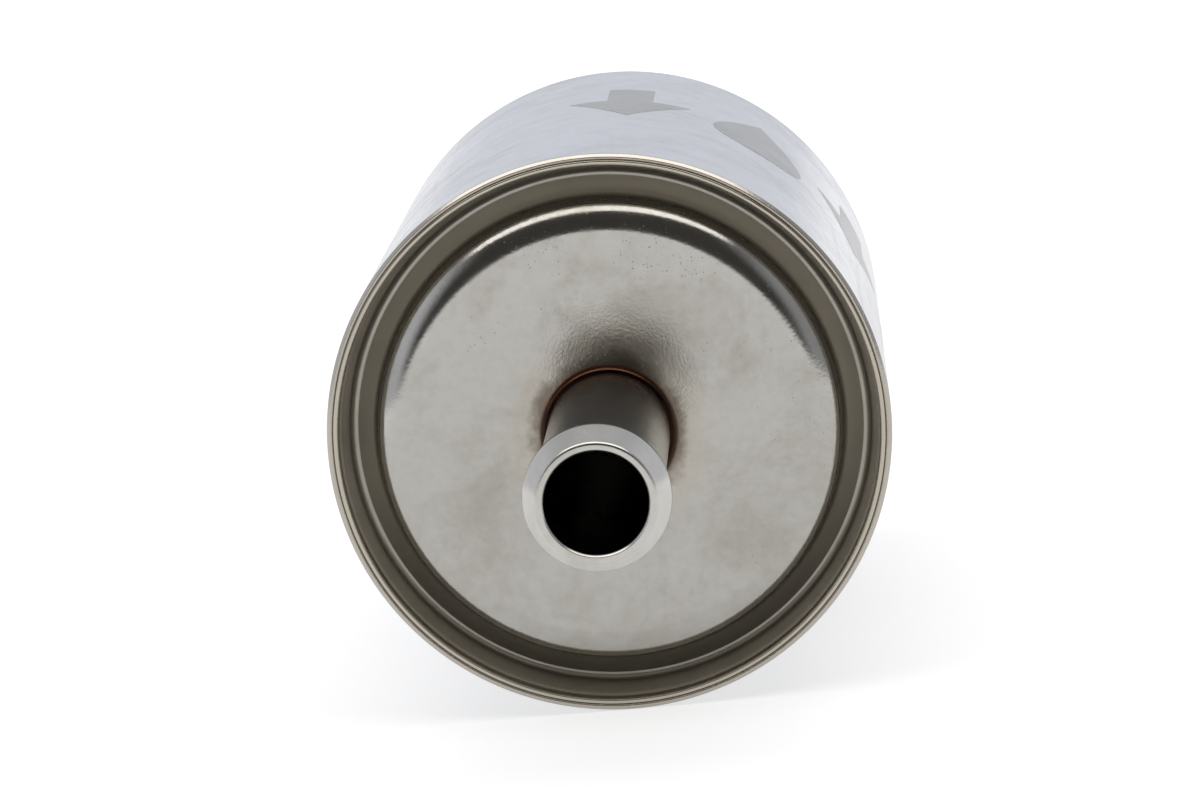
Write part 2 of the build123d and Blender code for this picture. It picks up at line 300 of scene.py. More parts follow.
@dataclass(frozen=True)
class PlatedSteel:
    """Bright zinc-nickel plated steel sheet or tube: a soft mirror with worked lines, pits and stains.

    Args:
        name: The material's name.
        pattern: How the surface was worked.
        colour: The clean plating.
        stain: The duller, browner plating in the stained patches.
        stain_share: How strongly the stained patches show, from 0 to 1.
        roughness: The clean plating's roughness.
        line_mm: Spacing of the worked lines.
        line_depth: Strength of the worked lines in the bump.
        scratch_share: Strength of the sparse long scratches from handling, from 0 to 1.
        pit_mm: Spacing of the small pits.
        pit_share: How much of the skin carries pits, from 0 to 1.
        wave_mm: Length of the slow waves in the sheet.
        wave_depth: Strength of those waves in the bump, in millimetres.
        tint: The heat tint round a brazed hole, or None.
        lip_tint_and_channel_shade_mm: Inner radius of the rim's straw-tinted lip, with the channel inside it
            painted darker as shade, or 0 for none.
        smudge_mm: Place of a round smudge as X, Y and Z, or None.
        lip_place_mm: Where the straw tint of the can's open edge begins along the axis, or 0 for none.
        bore_shade_mm: Radius of a tube's bore, whose inside wall is painted near black as shade, or 0 for
            none.
    """

    name: str
    pattern: Pattern
    colour: str = "#B6B4AF"
    stain: str = "#9D978C"
    stain_share: float = 0.35
    roughness: float = 0.19
    line_mm: float = 0.35
    line_depth: float = 0.25
    scratch_share: float = 0.0
    pit_mm: float = 0.3
    pit_share: float = 0.4
    wave_mm: float = 9.0
    wave_depth: float = 0.1
    tint: HeatTint | None = None
    lip_tint_and_channel_shade_mm: float = 0.0
    smudge_mm: tuple[float, float, float] | None = None
    lip_place_mm: float = 0.0
    bore_shade_mm: float = 0.0

    def build(self) -> bpy.types.Material:
        """Build the material.

        Returns:
            The finished material.
        """
        shade = Shader(self.name)
        radius, angle, along = shade.round_axis()
        lines = self.lines(shade, radius, angle, along)
        scratches = self.scratches(shade, radius, angle, along)
        pits = self.pits(shade)
        patch = shade.remap(shade.noise(shade.place, 7.0, 6.0, 0.68, 0.3), 0.42, 0.72)
        mottle = shade.remap(shade.noise(shade.place, 0.9, 4.0, 0.7), 0.38, 0.72)
        worn = shade.sum("MULTIPLY_ADD", mottle, 0.3, shade.sum("MULTIPLY", patch, 0.9))
        colour = shade.over(worn, self.stain_share, linear(self.colour), self.stain)
        colour = shade.over(pits, 0.22, colour, "#6C665D")
        colour = shade.over(scratches, 0.3, colour, "#D9DADC")
        satin = 0.0
        if self.tint:
            colour = self.tint.over(shade, colour, radius, angle)
        if self.smudge_mm:
            spot = shade.vector("SUBTRACT", shade.place, Vector(self.smudge_mm) * MM)
            apart = shade.length(shade.vector("MULTIPLY", spot, (1.0, 0.0, 1.0)))
            rim = shade.sum("SUBTRACT", shade.remap(apart, 0.9 * MM, 1.4 * MM),
                            shade.remap(apart, 1.4 * MM, 2.0 * MM))
            colour = shade.over(rim, 0.13, colour, "#8F8A82")
        # Painted shade: the channel inside the rim is coloured darker to stand for the shade in that recess.
        # The lip outside it carries a real straw tint.
        if self.lip_tint_and_channel_shade_mm:
            channel = shade.remap(radius, (self.lip_tint_and_channel_shade_mm - 2.6) * MM, (self.lip_tint_and_channel_shade_mm - 2.2) * MM)
            colour = shade.over(channel, 0.85, colour, "#9C978D")
            edge = shade.remap(radius, (self.lip_tint_and_channel_shade_mm - 0.1) * MM, self.lip_tint_and_channel_shade_mm * MM)
            colour = shade.over(edge, 0.8, colour, "#B2AB9D")
            satin = shade.sum("MULTIPLY", shade.sum("SUBTRACT", channel, edge), 0.17)
        if self.lip_place_mm:
            near = shade.remap(along, self.lip_place_mm * MM, (self.lip_place_mm + 0.6) * MM, 0.6, 0.0)
            colour = shade.mix(near, colour, linear("#A89D8A"))
        # Painted shade: the wall inside the bore is coloured near black to stand for the shade inside the
        # tube.
        if self.bore_shade_mm:
            inside = shade.remap(radius, (self.bore_shade_mm + 0.02) * MM, (self.bore_shade_mm + 0.1) * MM, 0.92, 0.0)
            colour = shade.mix(inside, colour, linear("#1B1A19"))
        cloud = shade.noise(shade.place, 1.6, 4.0, 0.6)
        rough = shade.sum("MULTIPLY_ADD", cloud, 0.1, self.roughness - 0.05)
        rough = shade.sum("MULTIPLY_ADD", pits, 0.2, rough)
        rough = shade.sum("MULTIPLY_ADD", scratches, 0.15, rough)
        rough = shade.sum("MULTIPLY_ADD", patch, 0.05, rough)
        rough = shade.sum("ADD", rough, satin)
        bsdf = shade.node("ShaderNodeBsdfPrincipled",
                          {"Base Color": colour, "Metallic": 1.0, "Roughness": rough})
        wave = shade.noise(shade.place, self.wave_mm, 1.0, 0.4)
        bump = shade.node("ShaderNodeBump",
                          {"Strength": 1.0, "Distance": self.wave_depth * MM, "Height": wave})
        fine = shade.sum("MULTIPLY_ADD", pits, -0.5, lines)
        fine = shade.sum("MULTIPLY_ADD", scratches, -0.6, fine)
        grain = shade.node("ShaderNodeBump", {"Strength": self.line_depth, "Distance": 0.02 * MM,
                                              "Height": fine, "Normal": bump.outputs[0]})
        shade.tree.links.new(grain.outputs[0], bsdf.inputs["Normal"])
        return shade.finish(bsdf)

    def run(self, shade: Shader, radius: Socket, angle: Socket,
            along: Socket, stretch: float, slant: float = 0.0) -> Socket:
        """Coordinates drawn out along the worked lines.

        Args:
            shade: The material being built.
            radius: Distance from the axis.
            angle: Angle round the axis.
            along: Distance along the axis.
            stretch: How many times longer than wide a spot becomes.
            slant: Share by which the lines lean across the axis.

        Returns:
            The stretched place.
        """
        arc = shade.sum("MULTIPLY", angle, radius)
        across, drawn = (arc, along) if self.pattern is Pattern.DRAWN else (along, arc)
        across = shade.sum("MULTIPLY_ADD", drawn, slant, across)
        short = shade.sum("MULTIPLY", drawn, 1.0 / stretch)
        return shade.node("ShaderNodeCombineXYZ", {"X": across, "Y": short, "Z": radius}).outputs[0]

    def lines(self, shade: Shader, radius: Socket, angle: Socket, along: Socket) -> Socket:
        """Noise drawn out along the worked lines, or a pebbled skin on pressed sheet."""
        if self.pattern is Pattern.PRESSED:
            return shade.noise(shade.place, self.line_mm, 2.0, 0.6)
        return shade.noise(self.run(shade, radius, angle, along, 60.0), self.line_mm, 1.5, 0.5)

    def scratches(self, shade: Shader, radius: Socket, angle: Socket, along: Socket) -> Socket | float:
        """Sparse long scratches that lean a little across the worked lines, gathered in patches."""
        if not self.scratch_share:
            return 0.0
        line = shade.noise(self.run(shade, radius, angle, along, 90.0, 0.05), 0.3, 1.0, 0.5)
        flank = shade.remap(shade.sum("COSINE", angle), 0.1, 0.9, 1.0, 0.15)
        where = shade.sum("MULTIPLY", flank, shade.remap(shade.noise(shade.place, 11.0, 3.0, 0.6), 0.42, 0.6))
        worn = shade.sum("MULTIPLY", where, self.scratch_share)
        return shade.sum("MULTIPLY", shade.remap(line, 0.58, 0.68), worn)

    def pits(self, shade: Shader) -> Socket:
        """Small dark dots that gather in loose patches."""
        dots = shade.node("ShaderNodeTexVoronoi", {"Vector": shade.place, "Scale": 1.0 / (self.pit_mm * MM),
                                                   "Randomness": 1.0}, feature="F1")
        dot = shade.remap(dots.outputs["Distance"], 0.12, 0.34, 1.0, 0.0)
        upper = shade.vector("DOT_PRODUCT", shade.place, (0.5, 0.0, 1.0))
        more = shade.remap(upper, -4.0 * MM, 12.0 * MM, -0.06, 0.06)
        share = shade.sum("ADD", shade.noise(shade.place, 3.8, 5.0, 0.7), more)
        where = shade.remap(share, 0.64 - 0.2 * self.pit_share, 0.84 - 0.2 * self.pit_share)
        chosen = shade.remap(shade.node("ShaderNodeSeparateColor", {0: dots.outputs["Color"]}).outputs[0],
                             0.4, 0.8)
        return shade.sum("MULTIPLY", shade.sum("MULTIPLY", dot, where), chosen)


@dataclass(frozen=True)
class SolidFinish:
    """An inner material of one colour with a fine uneven skin: rubber, adhesive, paper or wire.

    Args:
        name: The material's name.
        colour: The main colour.
        shade_colour: The colour in the hollows of the grain.
        roughness: The roughness of the skin.
        metallic: One for metal, else nought.
        grain_mm: Size of the skin's grain.
        grain_depth: Depth of that grain in the bump, in millimetres.
        sheen: Share of soft fibre sheen, for paper.
    """

    name: str
    colour: str
    shade_colour: str
    roughness: float
    metallic: float = 0.0
    grain_mm: float = 0.4
    grain_depth: float = 0.02
    sheen: float = 0.0

    def build(self) -> bpy.types.Material:
        """Build the material.

        Returns:
            The finished material.
        """
        shade = Shader(self.name)
        grain = shade.noise(shade.place, self.grain_mm, 4.0, 0.6)
        colour = shade.mix(shade.remap(grain, 0.35, 0.65), linear(self.shade_colour), linear(self.colour))
        rough = shade.sum("MULTIPLY_ADD", grain, 0.15, self.roughness - 0.07)
        bsdf = shade.node("ShaderNodeBsdfPrincipled", {
            "Base Color": colour, "Metallic": self.metallic, "Roughness": rough, "Sheen Weight": self.sheen})
        bump = shade.node("ShaderNodeBump",
                          {"Strength": 0.8, "Distance": self.grain_depth * MM, "Height": grain})
        shade.tree.links.new(bump.outputs[0], bsdf.inputs["Normal"])
        return shade.finish(bsdf)


FINISHES = {
    # Deep drawn and plated: a cool soft mirror with fine lines along the axis and scuffs from handling.
    "can_shell": PlatedSteel(
        "drawn_can_plating", Pattern.DRAWN, colour="#B9BABC", stain="#A6A6A6", roughness=0.22, line_mm=0.22,
        line_depth=0.22, scratch_share=0.8, pit_share=0.1, wave_depth=0.01, lip_place_mm=-25.4),
    # The print on the can: an ink-grey, duller than the plating under it.
    "flow_mark": PlatedSteel(
        "printed_mark_grey", Pattern.DRAWN, colour="#9C9A97", stain="#8D8A86", roughness=0.3, line_mm=0.22,
        line_depth=0.2, pit_share=0.1, wave_depth=0.01),
    # Pressed and plated after brazing: warmer, pebbled, stained by heat round the hole and at the rim's lip.
    # The channel is painted darker as shade, and the copper at the top of the hole is painted lighter as a
    # highlight.
    "outlet_cover": PlatedSteel(
        "pressed_cover_plating", Pattern.PRESSED, colour="#ABA9A4", stain="#8C877D", stain_share=0.5,
        line_mm=0.22, line_depth=0.24, smudge_mm=(-1.2, 0.0, -11.6), tint=HeatTint(4.6, 5.6, 7.4),
        lip_tint_and_channel_shade_mm=17.7, pit_share=0.8, roughness=0.14, pit_mm=0.24, wave_depth=0.04),
    # Rolled and plated tube: fine lines round it from the bead rolls, and its bore painted near black as
    # shade.
    "tube": PlatedSteel(
        "rolled_tube_plating", Pattern.TURNED, colour="#BDBBB6", roughness=0.23, pit_share=0.0, line_mm=0.3,
        line_depth=0.01, wave_depth=0.008, bore_shade_mm=3.2),
    # Copper braze, burnt nearly black except where it flashes at the hole's edge.
    "braze": PlatedSteel(
        "burnt_copper_braze", Pattern.PRESSED, colour="#2E1D16", stain="#120C0A", stain_share=0.9,
        roughness=0.45, pit_share=0.5, wave_depth=0.02),
    "pressed_steel": PlatedSteel("inner_pressed_steel", Pattern.PRESSED, colour="#B9B7AF", roughness=0.3),
    "spring_steel": SolidFinish(
        "bright_spring_wire", "#A9A8A6", "#9A9895", 0.28, metallic=1.0, grain_mm=0.25, grain_depth=0.001),
    "strainer_mesh": SolidFinish(
        "woven_steel_wire", "#A5A5A2", "#8E8C88", 0.34, metallic=1.0, grain_mm=0.2, grain_depth=0.001),
    "sealant": SolidFinish("cured_sealant", "#1C1A18", "#0E0D0C", 0.55),
    "seal_rubber": SolidFinish("nitrile_rubber", "#1A1A1A", "#101010", 0.6),
    "potting": SolidFinish("cured_potting", "#B79B62", "#A08450", 0.4),
    "filter_paper": SolidFinish(
        "resin_filter_paper", "#D9BE86", "#C2A468", 0.85, grain_mm=0.18, grain_depth=0.03, sheen=0.3),
}


@cache
def finish_named(name: str) -> bpy.types.Material:
    """Build a finish the first time that a piece asks for it.

    Args:
        name: The finish's key in the list of finishes.

    Returns:
        The one material of that finish.
    """
    return FINISHES[name].build()


# ---- turned sheet ----
@dataclass(frozen=True)
class Corner:
    """One corner of a turned outline, in millimetres.

    Args:
        radius: Distance from the can's axis.
        depth: Distance along the axis from the piece's own end face.
        round: Radius of the rounding at the corner.
    """

    radius: float
    depth: float
    round: float = 0.04


def rounded_loop(corners: list[Corner], turn_step: float = 7.5, run_step: float = 1.2) -> list[Place]:
    """Trace a closed outline with every corner rounded and its straight runs cut into short ones.

    Args:
        corners: The corners in order.
        turn_step: Largest turn between two points of a rounding, in degrees.
        run_step: Longest straight step, in millimetres.

    Returns:
        Radius and depth of each point of the loop.
    """
    points: list[Vector] = []
    count = len(corners)
    for number, corner in enumerate(corners):
        here = Vector((corner.radius, corner.depth))
        back = Vector((corners[number - 1].radius, corners[number - 1].depth)) - here
        after = corners[(number + 1) % count]
        ahead = Vector((after.radius, after.depth)) - here
        half = back.angle(ahead) / 2
        cut = min(corner.round / math.tan(half), ROUNDING_LIMIT * back.length, ROUNDING_LIMIT * ahead.length)
        radius = cut * math.tan(half)
        start = here + back.normalized() * cut
        middle = here + (back.normalized() + ahead.normalized()).normalized() * (radius / math.sin(half))
        turn = math.pi - 2 * half
        steps = max(2, math.ceil(math.degrees(turn) / turn_step))
        way = 1.0 if back.x * ahead.y - back.y * ahead.x < 0 else -1.0
        spoke = start - middle
        points += [middle + Matrix.Rotation(way * turn * k / steps, 2) @ spoke for k in range(steps + 1)]
    loop: list[Place] = []
    for number, point in enumerate(points):
        after = points[(number + 1) % len(points)]
        run = (after - point).length
        loop.append((point.x, point.y))
        if run > run_step:
            near = 0.06 / run
            inner = math.ceil(run / run_step)
            shares = [near, *(k / inner for k in range(1, inner)), 1 - near]
            loop += [tuple(point.lerp(after, share)) for share in shares]
    return loop


def bent_sheet(face: list[Corner], thickness: float) -> list[Corner]:
    """Close a line of bent sheet into an outline, with the metal to the left of the line.

    Args:
        face: The corners of one side of the sheet. The first and last ones' roundings are its cut edges'.
        thickness: The sheet's thickness in millimetres.

    Returns:
        The corners of the whole outline.
    """
    places = [Vector((corner.radius, corner.depth)) for corner in face]
    runs = [(after - before).normalized() for before, after in zip(places, places[1:])]
    sides = [Vector((-run.y, run.x)) * thickness for run in runs]
    back = [Corner(*(places[0] + sides[0]), face[0].round * 0.65)]
    for number in range(1, len(face) - 1):
        cross = runs[number - 1].x * runs[number].y - runs[number - 1].y * runs[number].x
        mitre = (sides[number - 1] + sides[number]) / (1 + runs[number - 1].dot(runs[number]))
        bend = face[number].round - math.copysign(thickness, cross)
        back.append(Corner(*(places[number] + mitre), max(bend, 0.05)))
    back.append(Corner(*(places[-1] + sides[-1]), 0.05))
    return face + back[::-1]


def turned_piece(name: str, loop: list[Place], rim_place: float, sides: int, facing: int) -> bpy.types.Object:
    """Turn a closed outline about the can's axis into a smooth mesh.

    Args:
        name: The new piece's name.
        loop: Radius and depth of each outline point, in millimetres.
        rim_place: Where depth nought lies along Y, in metres.
        sides: Number of steps round the axis.
        facing: One if depth grows towards +Y, minus one if it grows towards -Y.

    Returns:
        The new object, with its place in its mesh.
    """
    rows = len(loop)
    points = []
    for step in range(sides):
        angle = 2 * math.pi * step / sides
        swing = (math.sin(angle), math.cos(angle))
        points += [(r * MM * swing[0], rim_place + facing * d * MM, r * MM * swing[1]) for r, d in loop]
    faces = []
    for step in range(sides):
        near, far = step * rows, (step + 1) % sides * rows
        faces += [(near + k, far + k, far + (k + 1) % rows, near + (k + 1) % rows) for k in range(rows)]
    mesh = bpy.data.meshes.new(name)
    mesh.from_pydata(points, [], faces)
    work = bmesh.new()
    work.from_mesh(mesh)
    bmesh.ops.recalc_face_normals(work, faces=work.faces)
    work.to_mesh(mesh)
    work.free()
    mesh.shade_smooth()
    return placed(name, mesh)


@dataclass
class Canister:
    """The drawn can, its pressed cover and the two beaded hose nipples, turned finer than the frame's own.

    Args:
        radius: Outer radius of the can.
        length: Length of the can over its flat ends.
        rim_place: Where the rim plane lies along Y, in metres.
    """

    radius: float
    length: float
    rim_place: float
    can_sheet: float = 0.4
    cover_sheet: float = 0.35
    can_edge_round: float = 0.24
    can_corner_round: float = 2.4
    raised_radius: float = 9.5
    raised_height: float = 0.6
    raised_round: float = 0.8
    collar_round: float = 0.45
    dome_depth: float = 0.4
    shoulder_reach: float = 0.84
    shoulder_drop: float = 0.76
    shoulder_round: float = 2.5
    skirt_slope: float = 0.65
    channel_width: float = 2.95
    channel_depth: float = 3.4
    land_width: float = 0.4
    lip_round: float = 0.13
    lip_worn: float = 0.2
    tube_radius: float = 4.0
    tube_wall: float = 0.8
    collar_radius: float = 4.08
    collar_length: float = 1.3
    nipple_reach: float = 22.5
    outlet_inner: float = 9.0
    inlet_inner: float = 2.45
    sides: int = 360

    def build(self) -> None:
        """Make and place every outer shell."""
        self.place("can_shell", self.can_outline(), 1, self.rim_place)
        self.place("outlet_cover", self.cover_outline(), 1, self.rim_place)
        mouth = self.rim_place - self.nipple_reach * MM
        self.place("outlet_nipple", self.nipple_outline(self.nipple_reach + self.outlet_inner), 1, mouth)
        far_mouth = self.rim_place + (self.length + self.nipple_reach) * MM
        self.place("inlet_nipple", self.nipple_outline(self.nipple_reach + self.inlet_inner), -1, far_mouth)

    def place(self, node: str, corners: list[Corner], facing: int, start: float) -> None:
        """Turn one outline and let it stand for its frame node.

        Args:
            node: The frame node that the piece replaces.
            corners: The outline.
            facing: The way that depth grows along Y.
            start: Where depth nought lies along Y, in metres.
        """
        piece = turned_piece(f"{node}_turned", rounded_loop(corners), start, self.sides, facing)
        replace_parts(piece, node)
        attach(piece, Body.HOUSING.value)
        LOG.info("%s turned with %d faces", piece.name, len(piece.data.polygons))

    def can_outline(self) -> list[Corner]:
        """The can: straight wall, far corner, raised middle and the hole turned inwards."""
        end = self.length - self.raised_height
        face = [Corner(self.radius, 0, self.can_edge_round), Corner(self.radius, end, self.can_corner_round),
                Corner(self.raised_radius + self.raised_height, end, self.raised_round),
                Corner(self.raised_radius, self.length, self.raised_round),
                Corner(self.collar_radius, self.length, self.collar_round),
                Corner(self.collar_radius, self.length - self.collar_length)]
        outline = bent_sheet(face, self.can_sheet)
        outline[-1] = Corner(outline[-1].radius, outline[-1].depth, self.lip_round)
        worn = Corner(self.radius - self.lip_worn, 0, 0.1)
        return [Corner(self.radius, self.lip_worn, 0.1), *outline[1:], worn]

    def cover_outline(self) -> list[Corner]:
        """The cover: hole, flat dome, channel with its narrow land, and the skirt up to the rim."""
        skirt = self.radius - self.can_sheet - self.cover_sheet
        dome = skirt + self.cover_sheet - self.channel_width
        land = skirt - self.skirt_slope
        face = [Corner(self.collar_radius, self.dome_depth + self.collar_length),
                Corner(self.collar_radius, self.dome_depth, self.collar_round),
                Corner(dome - self.shoulder_reach, self.dome_depth, self.shoulder_round),
                Corner(dome, self.dome_depth + self.shoulder_drop, 0.45), Corner(dome + 0.3, 2.85, 0.5),
                Corner(land - self.land_width, self.channel_depth, 0.1),
                Corner(land, self.channel_depth, 0.4), Corner(skirt, 1.0, 1.5),
                Corner(skirt, 0, self.lip_round)]
        outline = bent_sheet(face, self.cover_sheet)
        outline[len(face)] = Corner(outline[len(face)].radius, outline[len(face)].depth, self.lip_round)
        return outline

    def nipple_outline(self, length: float) -> list[Corner]:
        """A tube with a rolled bead behind its mouth.

        Args:
            length: The tube's whole length.

        Returns:
            The corners of its wall.
        """
        bore = self.tube_radius - self.tube_wall
        return [Corner(bore + 0.15, 0, 0.08), Corner(self.tube_radius - 0.25, 0, 0.25),
                Corner(self.tube_radius + 0.6, 1.7, 0.45), Corner(self.tube_radius + 0.6, 2.3, 0.45),
                Corner(self.tube_radius, 3.0, 0.45), Corner(self.tube_radius, length, 0.05),
                Corner(bore, length, 0.05), Corner(bore, 0.15, 0.1)]


# ---- repeated pieces ----
@dataclass
class Repeat(Nodes):
    """A Geometry Nodes tree with named sizes, which is run once and leaves a plain mesh.

    Args:
        name: The finished piece's name.
        sizes: Name and value of each size that the tree takes, in metres or counts.
    """

    name: str
    sizes: dict[str, float | int]
    tree: bpy.types.NodeTree = field(init=False)
    size: dict[str, Socket] = field(init=False)
    start: Socket = field(init=False)

    def __post_init__(self) -> None:
        """Start the tree and its named inputs."""
        self.tree = bpy.data.node_groups.new(f"{self.name}_tree", "GeometryNodeTree")
        self.tree.interface.new_socket("Geometry", in_out="INPUT", socket_type="NodeSocketGeometry")
        for name, value in self.sizes.items():
            kind = "NodeSocketInt" if isinstance(value, int) else "NodeSocketFloat"
            self.tree.interface.new_socket(name, in_out="INPUT", socket_type=kind)
        self.tree.interface.new_socket("Geometry", in_out="OUTPUT", socket_type="NodeSocketGeometry")
        entry = self.tree.nodes.new("NodeGroupInput")
        self.size = {name: entry.outputs[name] for name in self.sizes}
        self.start = entry.outputs["Geometry"]

    def here(self) -> bpy.types.bpy_prop_collection:
        """Split the place of the point being worked on into X, Y and Z."""
        place = self.node("GeometryNodeInputPosition").outputs[0]
        return self.node("ShaderNodeSeparateXYZ", {0: place}).outputs

    def between(self, share: object, low: object, high: object) -> Socket:
        """Go from low to high in a straight line as the share goes from 0 to 1."""
        return self.node("ShaderNodeMapRange", {"Value": share, "To Min": low, "To Max": high}).outputs[0]

    def point(self, x: object, y: object, z: object) -> Socket:
        """Join three numbers or fields into a place."""
        return self.node("ShaderNodeCombineXYZ", {0: x, 1: y, 2: z}).outputs[0]

    def around(self, turn: object, reach: object, level: object) -> Socket:
        """Find the place at an angle and a reach round the axis, at a level along it."""
        across, up = (self.sum("MULTIPLY", self.sum(kind, turn), reach) for kind in ("SINE", "COSINE"))
        return self.point(across, level, up)

    def moved(self, shape: Socket, place: Socket) -> Socket:
        """Send every point of a shape to a new place."""
        return self.node("GeometryNodeSetPosition", {"Geometry": shape, "Position": place}).outputs[0]

    def wire(self, curve: Socket, section: Socket) -> Socket:
        """Draw a capped wire of one section along a curve."""
        inputs = {"Curve": curve, "Profile Curve": section, "Fill Caps": True}
        return self.node("GeometryNodeCurveToMesh", inputs).outputs[0]

    def ring(self, steps: int, radius: Socket) -> Socket:
        """Draw the round section of a wire."""
        inputs = {"Resolution": steps, "Radius": radius}
        return self.node("GeometryNodeCurvePrimitiveCircle", inputs).outputs[0]

    def run(self, shape: Socket, material: bpy.types.Material,
            flat: bpy.types.Mesh | None = None) -> bpy.types.Object:
        """Close the tree, run it and keep its result as a plain mesh.

        Args:
            shape: The geometry that the tree has made.
            material: The finish of every face.
            flat: The mesh that the tree starts from, if it takes one.

        Returns:
            The finished piece.
        """
        real = self.node("GeometryNodeRealizeInstances", {0: shape}).outputs[0]
        worn = self.node("GeometryNodeSetMaterial", {"Geometry": real, "Material": material}).outputs[0]
        self.node("NodeGroupOutput", {0: worn})
        maker = placed(f"{self.name}_maker", flat or bpy.data.meshes.new(f"{self.name}_empty"))
        modifier = maker.modifiers.new("build", "NODES")
        modifier.node_group = self.tree
        for item in self.tree.interface.items_tree:
            if item.in_out == "INPUT" and item.name in self.sizes:
                modifier[item.identifier] = self.sizes[item.name]
        ready = maker.evaluated_get(bpy.context.evaluated_depsgraph_get())
        mesh = bpy.data.meshes.new_from_object(ready)
        maker.modifiers.clear()
        bpy.data.objects.remove(maker)
        mesh.name = self.name
        mesh.shade_smooth()
        LOG.info("%s built with %d faces", self.name, len(mesh.polygons))
        return placed(self.name, mesh)


class Mark(Enum):
    """The plain signs printed on the can."""

    DROP = "a fuel drop with its tip towards the inlet"
    ARROW = "an arrow that points with the flow, towards the outlet"


@dataclass
class FlowMarks:
    """A band of fuel drops and flow arrows printed round the can.

    Args:
        radius: Outer radius of the can in millimetres.
        middle: Place of the band's middle along Y, in metres.
    """

    radius: float
    middle: float
    tall: float = 15.0
    wide: float = 8.6
    pitch_degrees: float = 30.0
    first_degrees: float = 7.0
    pairs: int = 3
    ink: float = 0.012
    strip: float = 0.45

    def build(self) -> None:
        """Print the band on the can."""
        pair = self.radius * math.radians(self.pitch_degrees)
        repeat = Repeat("flow_marks_print", {
            "Can Radius": self.radius * MM, "Pairs": self.pairs, "Pair Pitch": 2 * pair * MM,
            "First Angle": math.radians(self.first_degrees), "Middle": self.middle})
        apart = repeat.point(repeat.size["Pair Pitch"], 0.0, 0.0)
        row = repeat.node("GeometryNodeMeshLine", {"Count": repeat.size["Pairs"], "Offset": apart})
        copies = repeat.node("GeometryNodeInstanceOnPoints",
                             {"Points": row.outputs[0], "Instance": repeat.start})
        flat = repeat.node("GeometryNodeRealizeInstances", {0: copies.outputs[0]}).outputs[0]
        here = repeat.here()
        turn = repeat.sum("ADD", repeat.sum("DIVIDE", here[0], repeat.size["Can Radius"]),
                          repeat.size["First Angle"])
        reach = repeat.sum("ADD", here[2], repeat.size["Can Radius"])
        place = repeat.around(turn, reach, repeat.sum("ADD", here[1], repeat.size["Middle"]))
        piece = repeat.run(repeat.moved(flat, place), finish_named("flow_mark"), self.flat_pair(pair))
        piece.data.shade_flat()
        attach(piece, Body.HOUSING.value)

    def outline(self, mark: Mark) -> list[Place]:
        """Trace one sign about its own middle.

        Args:
            mark: The sign.

        Returns:
            Its corners across and along the can, in millimetres.
        """
        if mark is Mark.ARROW:
            half, neck, stem = self.wide / 2, self.tall * 0.06, self.wide * 0.19
            return [(0, -self.tall / 2), (half, neck), (stem, neck), (stem, self.tall / 2),
                    (-stem, self.tall / 2), (-stem, neck), (-half, neck)]
        turns = [2 * math.pi * step / DROP_STEPS for step in range(DROP_STEPS)]
        return [(self.wide * 0.6 * math.sin(t) * math.sin(t / 2) ** 1.5, self.tall / 2 * math.cos(t))
                for t in turns]

    def flat_pair(self, pitch: float) -> bpy.types.Mesh:
        """Cut one drop and one arrow as thin flat plates, in strips narrow enough to bend.

        Args:
            pitch: Distance between the two, in millimetres.

        Returns:
            The flat mesh, in metres, with its thickness across Z.
        """
        work = bmesh.new()
        for number, mark in enumerate((Mark.ARROW, Mark.DROP)):
            spots = [Vector((x + number * pitch, y, -self.ink)) * MM for x, y in self.outline(mark)]
            plate = work.faces.new([work.verts.new(spot) for spot in spots])
            raised = bmesh.ops.extrude_face_region(work, geom=[plate])["geom"]
            lift = Vector((0, 0, 2 * self.ink * MM))
            top = [part for part in raised if isinstance(part, bmesh.types.BMVert)]
            bmesh.ops.translate(work, vec=lift, verts=top)
        cuts = math.ceil((pitch + self.wide) / self.strip)
        for cut in range(cuts):
            spot = Vector((-self.wide / 2 + self.strip * (cut + 0.5), 0, 0)) * MM
            parts = work.verts[:] + work.edges[:] + work.faces[:]
            bmesh.ops.bisect_plane(work, geom=parts, plane_co=spot, plane_no=Vector((1, 0, 0)))
        bmesh.ops.recalc_face_normals(work, faces=work.faces)
        mesh = bpy.data.meshes.new("flow_marks_flat")
        work.to_mesh(mesh)
        work.free()
        return mesh


